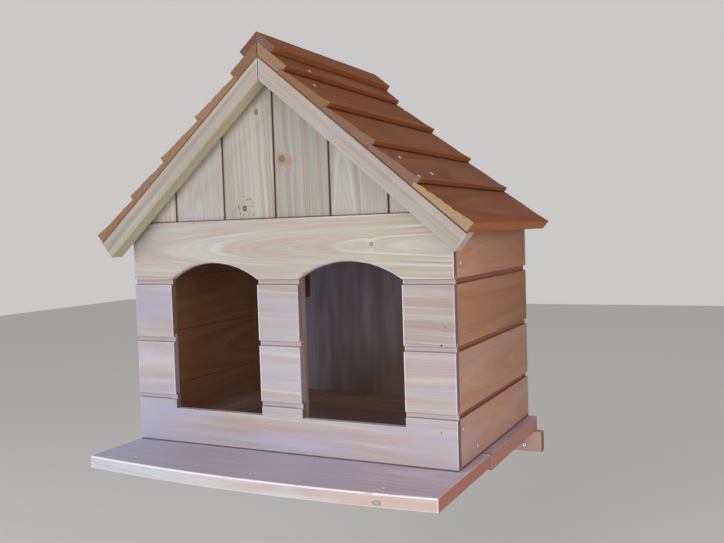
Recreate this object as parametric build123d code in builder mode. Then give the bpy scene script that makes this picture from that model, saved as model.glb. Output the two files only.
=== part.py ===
from build123d import *
from math import cos, radians, sin, tan
import os

# Wall-hung wooden nest house with two arched doorways and a landing ledge.
# All sizes in mm. The room wall is the plane y = 0 and the house stands out
# from it towards -Y. The origin is the middle of the ledger's back face.

# Body of the house
house_width = 600.0
house_depth = 392.0
wall_height = 382.0
board_t = 13.0

# Tongue and groove cladding, cut with a channel along the top of each face
course_cover = 100.5
bottom_course = 84.0
channel_height = 8.6
channel_depth = 4.5
tongue_back = 8.5
tongue_height = 4.0
groove_clearance = 0.3
lintel_proud = 1.5

# Doorways and the piers beside them
pier_left_width = 80.8
door_left_width = 177.0
pier_centre_width = 77.5
door_right_width = 181.0
door_sill = 60.0
arch_rise = 28.0

# Floor and the ledger that carries it, each reaching past the side walls
ledger_overhang = 28.0
ledger_height = 38.0
ledger_t = 18.0
floor_rear_t = 26.0
floor_front_t = 20.0
floor_left_overhang = 3.5
floor_front_overhang = 14.0
floor_rear_overhang = 15.5
floor_seam = 110.0
ledge_reach = 122.0
ledge_bow = 19.0
ledge_round = 3.0

# Roof slope and its boards, whose lengths along the slope start at the ridge
roof_angle = 40.3
roof_boards = 5
roof_first_lip = 53.5
roof_first_t = 17.5
roof_thin = 8.5
roof_thick = 18.0
roof_lap = 6.0
roof_mid_along = 40.0
roof_mid_t = 12.3
roof_low_along = 77.0
roof_low_t = 14.5
fourth_lip_up = 5.0
eave_overhang = 34.3
roof_overhang = 39.0
cap_t = 11.0
cap_reach = 18.5

# Bargeboards under the front ends of the roof boards
barge_t = 27.0
barge_overhang = 36.0
barge_apex_height = 36.9
barge_foot_in = 20.5
barge_foot_drop = 25.5

# Gable boards set back behind the lintel face
gable_recess = 7.0
gable_t = 12.0
gable_cover = 100.5
gable_joints = 5
gable_shift = -5.0
gable_gap = 0.6
gable_lap = 6.0
gable_clearance = 0.3

# Frame and lining inside the house
batten_width = 50.0
batten_height = 26.0
post_size = 28.0
stile_t = 11.0
stile_lap = 45.0
block_width = 30.5
block_t = 16.0
block_length = 76.0
rafter_t = 25.0
rafter_depth = 38.0
panel_t = 9.0
panel_gap = 4.0

# Positions that follow from the sizes above
half = house_width / 2
front = -house_depth
front_inner = front + board_t
side_inner = half - board_t
panel_front = -panel_gap - panel_t
door_left_start = -half + pier_left_width
door_left_end = door_left_start + door_left_width
door_right_start = door_left_end + pier_centre_width
door_right_end = door_right_start + door_right_width
floor_left = -half - floor_left_overhang
floor_front_right = half + floor_front_overhang
floor_rear_right = half + floor_rear_overhang
floor_top = ledger_height / 2 + floor_rear_t
joint_3 = bottom_course
joint_2 = joint_3 + course_cover
joint_1 = joint_2 + course_cover
lintel_top = wall_height + lintel_proud
slope = radians(roof_angle)
roof_rise = tan(slope)
ridge = floor_top + wall_height + roof_rise * half
roof_front = front - roof_overhang
roof_last_lip = (half + eave_overhang) / cos(slope)
roof_cover = (roof_last_lip - roof_first_lip) / (roof_boards - 1)
barge_half_span = half + barge_overhang

os.makedirs("parts", exist_ok=True)


def under_roof(x):
    # height of the roof boards' underside at a distance x from the middle
    return ridge - roof_rise * abs(x)


def on_slope(side, along, up):
    # point of the XZ plane from a distance down the slope and one square to it
    x = side * (along * cos(slope) + up * sin(slope))
    return (x, ridge - along * sin(slope) + up * cos(slope))


def roof_lip(number):
    # distance down the slope of a roof board's lower edge, the fourth set a little high
    raised = fourth_lip_up if number == 4 else 0
    return roof_first_lip + (number - 1) * roof_cover - raised


def board_profile(low, high, grooved, tongued):
    # section of a cladding board as (depth from the face, height above the floor)
    groove = tongue_height + groove_clearance
    points = [(0, low)]
    if tongued:
        points += [
            (0, high - channel_height),
            (channel_depth, high - channel_height),
            (channel_depth, high + tongue_height),
            (tongue_back, high + tongue_height),
            (tongue_back, high),
            (board_t, high),
        ]
    else:
        points += [(0, high), (board_t, high)]
    points += [(board_t, low)]
    if grooved:
        points += [
            (tongue_back, low),
            (tongue_back, low + groove),
            (channel_depth, low + groove),
            (channel_depth, low),
        ]
    return points


def front_section(low, high, grooved, tongued):
    # the same section as (y, z), standing in the front wall
    section = board_profile(low, high, grooved, tongued)
    return [(front + depth, floor_top + height) for depth, height in section]


def side_section(side, low, high, grooved, tongued):
    # the same section as (x, z), standing in a side wall
    section = board_profile(low, high, grooved, tongued)
    return [(side * (half - depth), floor_top + height) for depth, height in section]


# Ledger batten screwed to the room wall
with BuildPart() as wall_ledger:
    with BuildSketch(Plane.XZ):
        Rectangle(house_width + 2 * ledger_overhang, ledger_height)
    extrude(amount=ledger_t)
wall_ledger.part.label = "wall_ledger"
export_step(wall_ledger.part, "parts/wall_ledger.step")

# Rear floor plank, resting on the ledger
with BuildPart() as floor_rear:
    with BuildSketch(Plane.XY.offset(ledger_height / 2)):
        with Locations((floor_left, 0)):
            Rectangle(
                floor_rear_right - floor_left,
                house_depth - floor_seam,
                align=(Align.MIN, Align.MAX),
            )
    extrude(amount=floor_rear_t)
floor_rear.part.label = "floor_rear"
export_step(floor_rear.part, "parts/floor_rear.step")

# Front floor plank, running out as the landing ledge with a bowed front edge
with BuildPart() as floor_front:
    with BuildSketch(Plane.XY.offset(floor_top - floor_front_t)):
        with BuildLine():
            Polyline(
                (floor_left, front - ledge_reach),
                (floor_left, front + floor_seam),
                (floor_front_right, front + floor_seam),
                (floor_front_right, front - ledge_reach),
            )
            ThreePointArc(
                (floor_front_right, front - ledge_reach),
                ((floor_front_right + floor_left) / 2, front - ledge_reach - ledge_bow),
                (floor_left, front - ledge_reach),
            )
        make_face()
    extrude(amount=floor_front_t)
    top_edges = floor_front.faces().sort_by(Axis.Z)[-1].edges()
    fillet(top_edges.sort_by(Axis.Y)[:-1], radius=ledge_round)
floor_front.part.label = "floor_front"
export_step(floor_front.part, "parts/floor_front.step")

# Sill board across the front, notched at both doorways
with BuildPart() as sill_board:
    with BuildSketch(Plane.YZ.offset(-half)):
        Polygon(*front_section(0, joint_3, False, True), align=None)
    extrude(amount=house_width)
    with BuildSketch(Plane.XZ.offset(-front_inner)):
        for start, end in ((door_left_start, door_left_end), (door_right_start, door_right_end)):
            with Locations(((start + end) / 2, floor_top + door_sill)):
                Rectangle(end - start, course_cover, align=(Align.CENTER, Align.MIN))
    extrude(amount=board_t, mode=Mode.SUBTRACT)
sill_board.part.label = "sill_board"
export_step(sill_board.part, "parts/sill_board.step")

# Pier boards, two courses beside and between the doorways
piers = (
    ("left", -half, door_left_start),
    ("centre", door_left_end, door_right_start),
    ("right", door_right_end, half),
)
for pier, start, end in piers:
    for course, low, high in (("lower", joint_3, joint_2), ("upper", joint_2, joint_1)):
        with BuildPart() as pier_board:
            with BuildSketch(Plane.YZ.offset(start)):
                Polygon(*front_section(low, high, True, True), align=None)
            extrude(amount=end - start)
        pier_board.part.label = f"pier_{pier}_{course}"
        export_step(pier_board.part, f"parts/pier_{pier}_{course}.step")

# Lintel board with both arches cut in its lower edge and its ends cut to the slope
with BuildPart() as lintel_board:
    with BuildSketch(Plane.YZ.offset(-half)):
        Polygon(*front_section(joint_1, lintel_top, True, False), align=None)
    extrude(amount=house_width)
    with BuildSketch(Plane.XZ.offset(-front_inner)):
        Polygon(
            (-half, floor_top),
            (half, floor_top),
            (half, under_roof(half)),
            (0, ridge),
            (-half, under_roof(half)),
            align=None,
        )
    extrude(amount=board_t, mode=Mode.INTERSECT)
    with BuildSketch(Plane.XZ.offset(-front_inner)):
        for start, end in ((door_left_start, door_left_end), (door_right_start, door_right_end)):
            with BuildLine():
                ThreePointArc(
                    (start, floor_top + joint_1),
                    ((start + end) / 2, floor_top + joint_1 + arch_rise),
                    (end, floor_top + joint_1),
                )
                Line((end, floor_top + joint_1), (start, floor_top + joint_1))
            make_face()
    extrude(amount=board_t, mode=Mode.SUBTRACT)
lintel_board.part.label = "lintel_board"
export_step(lintel_board.part, "parts/lintel_board.step")

# Side walls, four courses each, the top one cut to the roof slope
for name, side in (("left", -1), ("right", 1)):
    courses = ((0, joint_3), (joint_3, joint_2), (joint_2, joint_1))
    for number, (low, high) in enumerate(courses, start=1):
        with BuildPart() as side_board:
            with BuildSketch(Plane.XZ):
                Polygon(*side_section(side, low, high, number > 1, True), align=None)
            extrude(amount=-front_inner)
        side_board.part.label = f"side_{name}_{number}"
        export_step(side_board.part, f"parts/side_{name}_{number}.step")
    with BuildPart() as side_top:
        with BuildSketch(Plane.XZ):
            board_top = under_roof(side_inner) - floor_top
            Polygon(*side_section(side, joint_1, board_top, True, False), align=None)
        extrude(amount=-front_inner)
        with BuildSketch(Plane.XZ):
            Polygon(
                (side * half, floor_top),
                (side * half, under_roof(half)),
                (side * side_inner, under_roof(side_inner)),
                (side * side_inner, floor_top),
                align=None,
            )
        extrude(amount=-front_inner, mode=Mode.INTERSECT)
    side_top.part.label = f"side_{name}_4"
    export_step(side_top.part, f"parts/side_{name}_4.step")

# Battens lying on the floor at the foot of the side walls and the back
back_batten_front = panel_front - batten_width
for name, side in (("left", -1), ("right", 1)):
    with BuildPart() as side_batten:
        with BuildSketch(Plane.XY.offset(floor_top)):
            with Locations((side * (side_inner - batten_width / 2), front_inner)):
                Rectangle(
                    batten_width,
                    back_batten_front - front_inner,
                    align=(Align.CENTER, Align.MIN),
                )
        extrude(amount=batten_height)
    side_batten.part.label = f"batten_{name}"
    export_step(side_batten.part, f"parts/batten_{name}.step")

with BuildPart() as back_batten:
    with BuildSketch(Plane.XY.offset(floor_top)):
        with Locations((0, back_batten_front)):
            Rectangle(2 * side_inner, batten_width, align=(Align.CENTER, Align.MIN))
    extrude(amount=batten_height)
back_batten.part.label = "batten_back"
export_step(back_batten.part, "parts/batten_back.step")

# Corner posts on the battens, up to the feet of the rafters
rafter_drop = rafter_depth / cos(slope)
post_top = under_roof(side_inner) - rafter_drop
with BuildPart() as corner_posts:
    with BuildSketch(Plane.XY.offset(floor_top + batten_height)):
        post_x = side_inner - post_size / 2
        post_rear = panel_front - post_size / 2
        post_front = front_inner + post_size / 2
        with Locations(
            (-post_x, post_front),
            (post_x, post_front),
            (-post_x, post_rear),
            (post_x, post_rear),
        ):
            Rectangle(post_size, post_size)
    extrude(amount=post_top - floor_top - batten_height)
corner_posts.part.label = "corner_posts"
export_step(corner_posts.part, "parts/corner_posts.step")

# Stile behind the centre pier, with a short block behind its head
with BuildPart() as centre_stile:
    with BuildSketch(Plane.XY.offset(floor_top)):
        with Locations((door_left_end, front_inner)):
            Rectangle(pier_centre_width, stile_t, align=(Align.MIN, Align.MIN))
    extrude(amount=joint_1 + stile_lap)
centre_stile.part.label = "centre_stile"
export_step(centre_stile.part, "parts/centre_stile.step")

with BuildPart() as stile_block:
    with BuildSketch(Plane.XY.offset(floor_top + joint_1 + stile_lap - block_length)):
        with Locations((door_right_start, front_inner + stile_t)):
            Rectangle(block_width, block_t, align=(Align.MAX, Align.MIN))
    extrude(amount=block_length)
stile_block.part.label = "stile_block"
export_step(stile_block.part, "parts/stile_block.step")

# Plywood back panel, standing on the floor and pointed under the roof
with BuildPart() as back_panel:
    with BuildSketch(Plane.XZ.offset(panel_gap)):
        Polygon(
            (-side_inner, floor_top),
            (side_inner, floor_top),
            (side_inner, under_roof(side_inner)),
            (0, ridge),
            (-side_inner, under_roof(side_inner)),
            align=None,
        )
    extrude(amount=panel_t)
back_panel.part.label = "back_panel"
export_step(back_panel.part, "parts/back_panel.step")

# Upright gable boards, half-lapped with open joints, standing on the lintel
gable_face = front + gable_recess
gable_back = gable_face + gable_t
gable_middle = gable_face + gable_t / 2
gable_base = floor_top + lintel_top
first_joint = gable_shift - gable_cover * (gable_joints - 1) / 2
edges = [-side_inner]
edges += [first_joint + step * gable_cover for step in range(gable_joints)]
edges += [side_inner]
with BuildPart() as gable_boards:
    with BuildSketch(Plane.XY.offset(gable_base)):
        for left, right in zip(edges[:-1], edges[1:]):
            first = left == edges[0]
            last = right == edges[-1]
            face_left = left if first else left + gable_gap
            face_right = right if last else right - gable_gap
            back_left = left if first else left + gable_lap + gable_gap
            back_right = right if last else right + gable_lap - gable_gap
            Polygon(
                (face_left, gable_face),
                (face_right, gable_face),
                (face_right, gable_middle + gable_clearance),
                (back_right, gable_middle + gable_clearance),
                (back_right, gable_back),
                (back_left, gable_back),
                (back_left, gable_middle),
                (face_left, gable_middle),
                align=None,
            )
    extrude(amount=ridge - gable_base)
    with BuildSketch(Plane.XZ.offset(-gable_back)):
        Polygon(
            (-side_inner, gable_base),
            (side_inner, gable_base),
            (side_inner, under_roof(side_inner)),
            (0, ridge),
            (-side_inner, under_roof(side_inner)),
            align=None,
        )
    extrude(amount=gable_t, mode=Mode.INTERSECT)
gable_boards.part.label = "gable_boards"
export_step(gable_boards.part, "parts/gable_boards.step")

# Rafters, one pair behind the gable boards and one against the back panel
for name, side in (("left", -1), ("right", 1)):
    with BuildPart() as rafters:
        for rafter_back in (gable_back + rafter_t, panel_front):
            with BuildSketch(Plane.XZ.offset(-rafter_back)):
                Polygon(
                    (0, ridge),
                    (side * side_inner, under_roof(side_inner)),
                    (side * side_inner, under_roof(side_inner) - rafter_drop),
                    (0, ridge - rafter_drop),
                    align=None,
                )
            extrude(amount=rafter_t)
    rafters.part.label = f"rafters_{name}"
    export_step(rafters.part, f"parts/rafters_{name}.step")

# Bargeboards, mitred at the apex and cut square at the feet
for name, side in (("left", -1), ("right", 1)):
    with BuildPart() as bargeboard:
        with BuildSketch(Plane.XZ.offset(-roof_front - barge_t)):
            Polygon(
                (0, ridge),
                (side * barge_half_span, under_roof(barge_half_span)),
                (
                    side * (barge_half_span - barge_foot_in),
                    under_roof(barge_half_span) - barge_foot_drop,
                ),
                (0, ridge - barge_apex_height),
                align=None,
            )
        extrude(amount=barge_t)
    bargeboard.part.label = f"bargeboard_{name}"
    export_step(bargeboard.part, f"parts/bargeboard_{name}.step")

# Roof boards from the ridge down, each lip lapping the thin edge of the next
for name, side in (("left", -1), ("right", 1)):
    for number in range(1, roof_boards + 1):
        lip = roof_lip(number)
        top = roof_lip(number - 1)
        lip_t = roof_first_t if number == 1 else roof_thick
        section = []
        if number == 1:
            section += [(0, ridge + roof_first_t / cos(slope)), (0, ridge)]
        else:
            section += [
                on_slope(side, top + roof_low_along, roof_low_t),
                on_slope(side, top + roof_mid_along, roof_mid_t),
                on_slope(side, top, roof_thin),
                on_slope(side, top - roof_lap, roof_thin),
                on_slope(side, top - roof_lap, 0),
            ]
        if number == roof_boards:
            section += [on_slope(side, lip, 0)]
        else:
            section += [
                on_slope(side, lip - roof_lap, 0),
                on_slope(side, lip - roof_lap, roof_thin),
                on_slope(side, lip, roof_thin),
            ]
        section += [on_slope(side, lip, lip_t)]
        with BuildPart() as roof_board:
            with BuildSketch(Plane.XZ):
                Polygon(*section, align=None)
            extrude(amount=-roof_front)
        roof_board.part.label = f"roof_{name}_{number}"
        export_step(roof_board.part, f"parts/roof_{name}_{number}.step")

# Narrow capping boards along the ridge
for name, side in (("left", -1), ("right", 1)):
    with BuildPart() as ridge_cap:
        with BuildSketch(Plane.XZ):
            Polygon(
                (0, ridge + roof_first_t / cos(slope)),
                on_slope(side, cap_reach, roof_first_t),
                on_slope(side, cap_reach, roof_first_t + cap_t),
                (0, ridge + (roof_first_t + cap_t) / cos(slope)),
                align=None,
            )
        extrude(amount=-roof_front)
    ridge_cap.part.label = f"ridge_cap_{name}"
    export_step(ridge_cap.part, f"parts/ridge_cap_{name}.step")
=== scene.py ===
import math
import bpy
import numpy as np
from mathutils import Matrix, Vector


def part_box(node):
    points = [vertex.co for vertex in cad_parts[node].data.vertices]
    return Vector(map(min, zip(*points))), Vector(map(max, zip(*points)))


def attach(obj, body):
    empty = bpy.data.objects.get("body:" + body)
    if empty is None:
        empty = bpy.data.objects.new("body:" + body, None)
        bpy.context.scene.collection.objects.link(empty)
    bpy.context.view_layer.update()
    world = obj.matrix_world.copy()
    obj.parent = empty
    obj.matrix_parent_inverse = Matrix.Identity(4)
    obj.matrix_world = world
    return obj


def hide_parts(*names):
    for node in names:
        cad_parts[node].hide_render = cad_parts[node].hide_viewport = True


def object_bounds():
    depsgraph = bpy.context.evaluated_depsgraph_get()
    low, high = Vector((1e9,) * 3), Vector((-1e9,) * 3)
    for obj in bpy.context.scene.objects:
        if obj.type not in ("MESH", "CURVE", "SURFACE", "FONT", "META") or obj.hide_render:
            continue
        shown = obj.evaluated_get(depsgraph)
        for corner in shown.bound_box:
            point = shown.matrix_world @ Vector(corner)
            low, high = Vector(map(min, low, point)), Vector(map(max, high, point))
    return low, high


# Wall-hung wooden nest house. Every board is a section carried along its length.
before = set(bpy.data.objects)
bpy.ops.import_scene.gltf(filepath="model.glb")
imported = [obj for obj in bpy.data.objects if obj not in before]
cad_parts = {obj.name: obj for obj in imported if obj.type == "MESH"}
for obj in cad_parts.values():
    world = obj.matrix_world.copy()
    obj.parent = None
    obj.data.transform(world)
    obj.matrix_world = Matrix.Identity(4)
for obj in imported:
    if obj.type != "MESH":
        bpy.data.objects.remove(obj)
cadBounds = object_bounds()
print("frame loaded with", len(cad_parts), "nodes")


def span(node):
    # Lowest and highest corner of a node's box
    low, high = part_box(node)
    return np.array(low), np.array(high)


# Shader helpers: each returns an output socket of the node that it adds. The node goes into the
# tree that its inputs come from, unless a tree is given.
def shaderNode(kind, inputs, output=0, tree=None, **settings):
    tree = tree or next(value.id_data for value in inputs.values() if isinstance(value, bpy.types.NodeSocket))
    node = tree.nodes.new(kind)
    for key, value in settings.items():
        setattr(node, key, value)
    for key, value in inputs.items():
        if isinstance(value, bpy.types.NodeSocket):
            tree.links.new(value, node.inputs[key])
        else:
            node.inputs[key].default_value = value
    return node.outputs[output]


def attributeNode(tree, name, output=2):
    # Output 0 is a colour, 1 a vector and 2 a number
    return shaderNode("ShaderNodeAttribute", {}, output, tree, attribute_name=name)


def mathNode(operation, first, second=0.0, third=0.0, clamp=False):
    return shaderNode("ShaderNodeMath", {0: first, 1: second, 2: third}, operation=operation, use_clamp=clamp)


def times(first, second, clamp=False):
    # first * second
    return mathNode("MULTIPLY", first, second, clamp=clamp)


def timesPlus(first, second, third):
    # first * second + third
    return mathNode("MULTIPLY_ADD", first, second, third)


def spread(value, depth):
    # Turns 0..1 into 1 - depth/2 .. 1 + depth/2
    return timesPlus(value, depth, 1 - depth / 2)


def mixColour(factor, first, second, blend="MIX"):
    inputs = {0: factor, 6: first, 7: second}
    return shaderNode("ShaderNodeMix", inputs, 2, data_type="RGBA", blend_type=blend)


def tinted(colour, tint, share=1.0):
    # colour * tint, by its share
    return mixColour(share, colour, tint, "MULTIPLY")


def noiseNode(vector, scale, detail, roughness=.5):
    inputs = {"Vector": vector, "Scale": scale, "Detail": detail, "Roughness": roughness}
    return shaderNode("ShaderNodeTexNoise", inputs)


def stretched(vector, factors):
    return shaderNode("ShaderNodeVectorMath", {0: vector, 1: factors}, operation="MULTIPLY")


def pattern(vector, noise):
    # A noise that is finer along an axis the more the axis is stretched
    stretch, detail, roughness = noise
    return noiseNode(stretched(vector, stretch), 1.0, detail, roughness)


def smoothStep(value, limits):
    # 0 at the first limit and 1 at the second, 3t^2 - 2t^3 between them
    inputs = {"Value": value, "From Min": limits[0], "From Max": limits[1]}
    return shaderNode("ShaderNodeMapRange", inputs, interpolation_type="SMOOTHSTEP")


def axesOf(vector):
    return shaderNode("ShaderNodeSeparateXYZ", {0: vector}).node.outputs


def combined(x, y, z=0.0):
    return shaderNode("ShaderNodeCombineXYZ", {0: x, 1: y, 2: z})


def newMaterial(name):
    material = bpy.data.materials.new(name)
    material.use_nodes = True
    material.node_tree.nodes.clear()
    return material, material.node_tree


def addSurface(tree, inputs):
    surface = shaderNode("ShaderNodeBsdfPrincipled", inputs, tree=tree)
    target = tree.nodes.new("ShaderNodeOutputMaterial")
    tree.links.new(surface, target.inputs["Surface"])


def fromScreen(colour):
    # Screen colour in 0..255 to linear light
    levels = np.array(colour) / 255
    linear = np.where(levels <= .04045, levels / 12.92, ((levels + .055) / 1.055) ** 2.4)
    return (*linear.tolist(), 1.0)


def inLinearLight(values):
    # Three whole numbers are a screen colour, and all else stays as it is
    colours = {key: fromScreen(value) for key, value in values.items()
               if isinstance(value, tuple) and [type(level) for level in value] == [int] * 3}
    return {**values, **colours}


def layer(colour, mask, paint):
    # Paint is (share, red, green, blue), laid over the colour where the mask is
    return mixColour(times(mask, paint[0]), colour, fromScreen(paint[1:]))


# Sawn softwood: sizes in metres, noises as (stretch, detail, roughness), and as a pair the values
# between which a smooth step rises or falls
timber = {
    "wobble": .0130, "slowWaves": ((1.6, 11, 11), 2.0, .5),
    "fineWobble": .0020, "quickWaves": ((9, 70, 70), 2.0, .5),
    "bandSize": .0062, "bandAlong": 1.1, "bandEdge": (.34, .66),
    "streakSize": .0023, "streakAlong": 2.3, "streakShift": 4.0,
    "lightLines": .6, "lightEdge": (.55, .70), "darkLines": .4, "darkEdge": (.42, .26),
    "ringSize": .0016, "ringDepth": .16, "ringRise": (.30, .85), "ringFall": (.88, .99),
    "streak": .14, "fibres": ((8, 400, 400), 3.0, .6), "fibreEdge": (.45, .80),
    "patches": ((7, 0, 45), 2.0, .5), "patchEdge": (.64, .36),
    "clouds": ((5, 5, 26), 2.0, .5), "cloudEdge": (.30, .70), "cloudLeast": .3,
    "blotches": ((6, 6, 6), 3.0, .55), "blotchDepth": .24, "toneRange": .4,
    "sawMarks": ((560, 560, 560), 4.0, .75), "speckle": .5,
    "endRings": .35, "endLines": .5, "endShare": .92, "endEdge": (.5, .8), "faceEdge": (.8, .5),
    "hollowStain": .45, "hollowEdge": (.05, .5), "cornerStain": .8, "cornerEdge": (.72, .95),
    "wear": .5, "scuffs": ((60, 60, 60), 2.0, .5), "scuffEdge": (.05, .5),
    "pores": ((45, 1500, 1500), 1.0, .5), "fibreHeight": .55, "poreHeight": .30, "lateHeight": -.35,
    "bumpDistance": .00022, "bumpStrength": .7,
    "roughness": .62, "lateRough": -.08, "endRough": .18, "gloss": .32,
}
# Knots: places of their parts in half widths of the core, which is oval
knotShape = {
    "swellFall": -.12, "edgeScale": 1.7, "edgeDepth": .7, "haloFrom": 1.0, "ringEdge": (1.45, 1.2),
    "coreEdge": (1.0, .65), "waves": 15.0, "waveEdge": (.3, .9), "pithEdge": (.62, .50), "waveShare": .45,
    "specksFrom": (2.3, 2.9), "specksTo": (5.6, 4.4), "speckScale": .9, "speckEdge": (.57, .66),
}


def woodMaterial(name, look, woodKnots):
    # Growth rings are the distance from the heart of the log, sqrt(across^2 + depth^2), wobbled by
    # two noises. A knot at the distance d widens it by swirl * exp(-.12 d^2).
    material, tree = newMaterial(name)
    value = inLinearLight({**timber, **look})
    grain, tone = attributeNode(tree, "grain", 1), attributeNode(tree, "tone", 1)
    arris, stainAndShade, cut = (attributeNode(tree, key) for key in ("arris", "stainAndShade", "cut"))
    place = shaderNode("ShaderNodeTexCoord", {}, 3, tree)
    light, blush, grey = axesOf(tone)
    along, across, depth = axesOf(grain)
    rings = mathNode("SQRT", timesPlus(across, across, times(depth, depth)))
    rings = timesPlus(pattern(grain, value["slowWaves"]), value["wobble"], rings)
    rings = timesPlus(pattern(grain, value["quickWaves"]), value["fineWobble"], rings)
    rounds = []
    for knot in woodKnots:
        offset = shaderNode("ShaderNodeVectorMath", {0: place, 1: knot["at"]}, operation="SUBTRACT")
        offset = stretched(offset, [1 / size for size in knot["size"]])
        away = shaderNode("ShaderNodeVectorMath", {0: offset}, 1, operation="LENGTH")
        swell = mathNode("EXPONENT", times(times(away, away), knotShape["swellFall"]))
        rings = timesPlus(swell, knot["swirl"], rings)
        ragged = timesPlus(noiseNode(offset, knotShape["edgeScale"], 3.0), knotShape["edgeDepth"], away)
        rounds.append((ragged, offset, knot))
    bands = combined(mathNode("DIVIDE", rings, value["bandSize"]), times(along, value["bandAlong"]))
    streaks = combined(mathNode("DIVIDE", rings, value["streakSize"]), times(along, value["streakAlong"]),
                       value["streakShift"])
    broad = smoothStep(noiseNode(bands, 1.0, 2.0, .55), value["bandEdge"])
    lines = noiseNode(streaks, 1.0, 1.0)
    phase = mathNode("FRACT", mathNode("DIVIDE", rings, value["ringSize"]))
    late = mathNode("SUBTRACT", smoothStep(phase, value["ringRise"]), smoothStep(phase, value["ringFall"]))
    fibre = pattern(grain, value["fibres"])
    # pale wood with warm bands, newly planed faces (on the bargeboards' undersides a painted bounce light),
    # light and dark streaks, late wood and fibres
    colour = mixColour(broad, value["warm"], value["pale"])
    if "freshAndLitPale" in value:
        patches = smoothStep(pattern(place, value["patches"]), value["patchEdge"])
        patches = times(patches, smoothStep(axesOf(place)[0], value["warmFrom"]))
        fresh = attributeNode(tree, "fresh")
        colour = mixColour(fresh, colour, mixColour(patches, value["freshAndLitPale"], value["freshAndLitWarm"]))
        grey = times(grey, mathNode("SUBTRACT", 1.0, fresh))
    lightLines = times(smoothStep(lines, value["lightEdge"]), value["lightLines"])
    colour = mixColour(lightLines, colour, value["bright"])
    darkLines = times(smoothStep(lines, value["darkEdge"]), value["darkLines"])
    fibreShade = times(smoothStep(fibre, value["fibreEdge"]), value["streak"])
    for share in (darkLines, times(late, value["ringDepth"]), fibreShade):
        colour = mixColour(share, colour, value["dark"])
    colour = tinted(colour, value["blushColour"], blush)
    cloud = smoothStep(pattern(place, value["clouds"]), value["cloudEdge"])
    colour = mixColour(times(grey, timesPlus(cloud, 1.0, value["cloudLeast"])), colour, value["greyColour"])
    for ragged, offset, knot in rounds:
        # halo, loose specks, dark rind, then the core with its own rings and pith
        colour = layer(colour, smoothStep(ragged, (knot["reach"], knotShape["haloFrom"])), knot["halo"])
        if "specks" in knot:
            specks = smoothStep(noiseNode(offset, knotShape["speckScale"], 1.0), knotShape["speckEdge"])
            specks = times(specks, smoothStep(ragged, knotShape["specksFrom"]))
            specks = times(specks, smoothStep(ragged, knotShape["specksTo"]))
            colour = layer(colour, specks, knot["specks"])
        colour = layer(colour, smoothStep(ragged, knotShape["ringEdge"]), knot["ring"])
        core = smoothStep(ragged, knotShape["coreEdge"])
        colour = layer(colour, core, knot["core"])
        wave = smoothStep(mathNode("SINE", times(ragged, knotShape["waves"])), knotShape["waveEdge"])
        inner = times(mathNode("MAXIMUM", wave, smoothStep(ragged, knotShape["pithEdge"])), core)
        colour = layer(colour, inner, (knotShape["waveShare"] * knot["core"][0], *knot["ring"][1:]))
    level = spread(pattern(place, value["blotches"]), value["blotchDepth"])
    level = times(spread(light, value["toneRange"]), level)
    colour = tinted(colour, combined(level, level, level))
    # sawn ends show rings and a fine speckle, hollows and corners take stain and painted shade, and edges are
    # lighter by wear and painted highlight
    speckle = spread(pattern(place, value["sawMarks"]), value["speckle"])
    endWood = mixColour(times(late, value["endRings"]), attributeNode(tree, "endColour", 0), value["dark"])
    endWood = mixColour(times(darkLines, value["endLines"]), endWood, value["dark"])
    endWood = tinted(endWood, combined(speckle, speckle, speckle))
    colour = mixColour(times(smoothStep(cut, value["endEdge"]), value["endShare"]), colour, endWood)
    stainAndShade = times(stainAndShade, smoothStep(cut, value["faceEdge"]))
    # stain and painted shade: a soft colour in hollows and a dark line in corners and joints
    for kind, paint in (("hollow", "hollowShadeColour"), ("corner", "jointShadeColour")):
        share = times(smoothStep(stainAndShade, value[kind + "Edge"]), value[kind + "Stain"])
        colour = mixColour(share, colour, value[paint])
    wear = times(arris, mathNode("SUBTRACT", 1.0, mathNode("MAXIMUM", stainAndShade, cut)))
    # the doorway chamfers' painted highlight joins the worn edges here
    wear = mathNode("MAXIMUM", times(wear, value["wear"]), attributeNode(tree, "chamferHighlight"))
    scuffed = smoothStep(pattern(place, value["scuffs"]), value["scuffEdge"])
    colour = mixColour(times(wear, scuffed, clamp=True), colour, value["wearAndHighlightColour"])
    # painted shade: inside the house the wall faces and the floor are darkened
    if "paintedIndoorShade" in value:
        x, y, z = axesOf(place)
        indoorShadeMask = mathNode("LESS_THAN", mathNode("ABSOLUTE", x), value["indoorWidth"])
        indoorShadeMask = times(indoorShadeMask, mathNode("GREATER_THAN", y, value["indoorFront"]))
        indoorShadeMask = times(indoorShadeMask, mathNode("GREATER_THAN", z, value["indoorLow"]))
        colour = tinted(colour, value["paintedIndoorShade"], indoorShadeMask)
    height = timesPlus(fibre, value["fibreHeight"], times(late, value["lateHeight"]))
    height = timesPlus(pattern(grain, value["pores"]), value["poreHeight"], height)
    bump = {"Height": height, "Distance": value["bumpDistance"], "Strength": value["bumpStrength"]}
    rough = timesPlus(late, value["lateRough"], value["roughness"])
    rough = timesPlus(cut, value["endRough"], rough)
    addSurface(tree, {"Base Color": colour, "Roughness": rough, "Normal": shaderNode("ShaderNodeBump", bump),
                      "Specular IOR Level": value["gloss"]})
    return material


# Rotary veneer: upright grain, wide soft figure and fine pores. The room side turns brown towards
# the lower right, where x - .8 z is more than its limits.
plywood = {
    "pale": (146, 137, 149), "dark": (110, 92, 95),
    "figure": ((15, 15, 2.6), 3.0, .55), "figureEdge": (.35, .65),
    "pores": ((330, 330, 9), 3.0, .6), "poreEdge": (.45, .75), "poreShare": (.25, 88, 76, 78),
    "brown": (.62, .42, .24, 1), "brownSlope": -.8, "brownFrom": (-.23, -.05), "brownFront": -.005,
    "bumpDistance": .0001, "bumpStrength": .5, "roughness": .6,
}


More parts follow.
